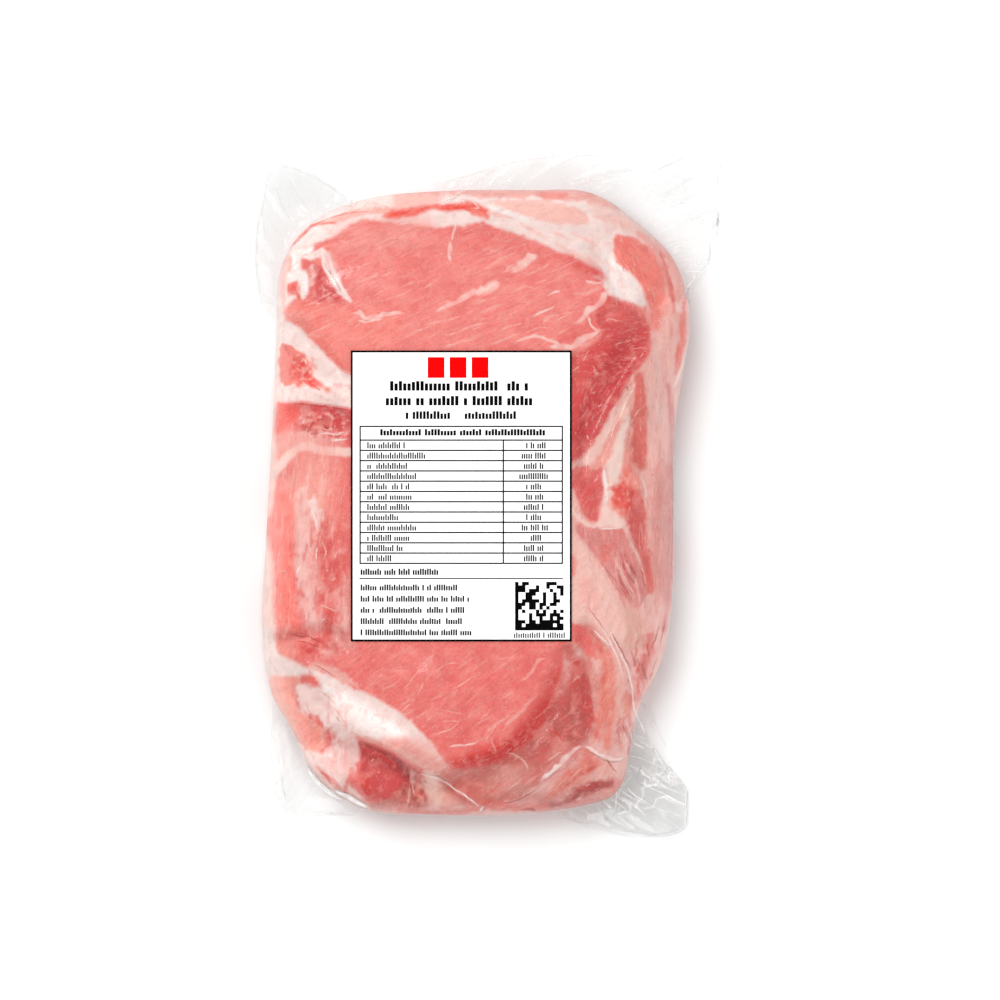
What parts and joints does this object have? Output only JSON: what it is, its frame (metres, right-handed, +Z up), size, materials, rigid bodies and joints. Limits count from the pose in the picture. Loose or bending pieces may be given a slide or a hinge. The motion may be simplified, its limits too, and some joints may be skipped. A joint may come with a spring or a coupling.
{
  "type": "vacuum-packed raw pork loin",
  "caption": "Slab of raw boneless pork loin, folded and sealed in a clear vacuum bag with crumpled film flaps and a printed paper label.",
  "frame": {"origin": "on the surface the pack lies on, under the centre of the outline of the bag and its flaps", "axes": "+Z up out of the labelled side, +Y along the slab towards the top of the label, +X to the right of the label"},
  "size_m": [0.1624, 0.2388, 0.0369],
  "materials": {
    "wrapped_meat": "moist raw pork, pink muscle and pale fat, glossy under tight clear film",
    "clear_film": "thin clear vacuum film, glossy, with soft creases",
    "label_paper": "smooth white coated paper with plain printed bars"
  },
  "bodies": {
    "root": {"sealed_bag": "wrapped_meat", "label": "label_paper"}
  },
  "joints": []
}
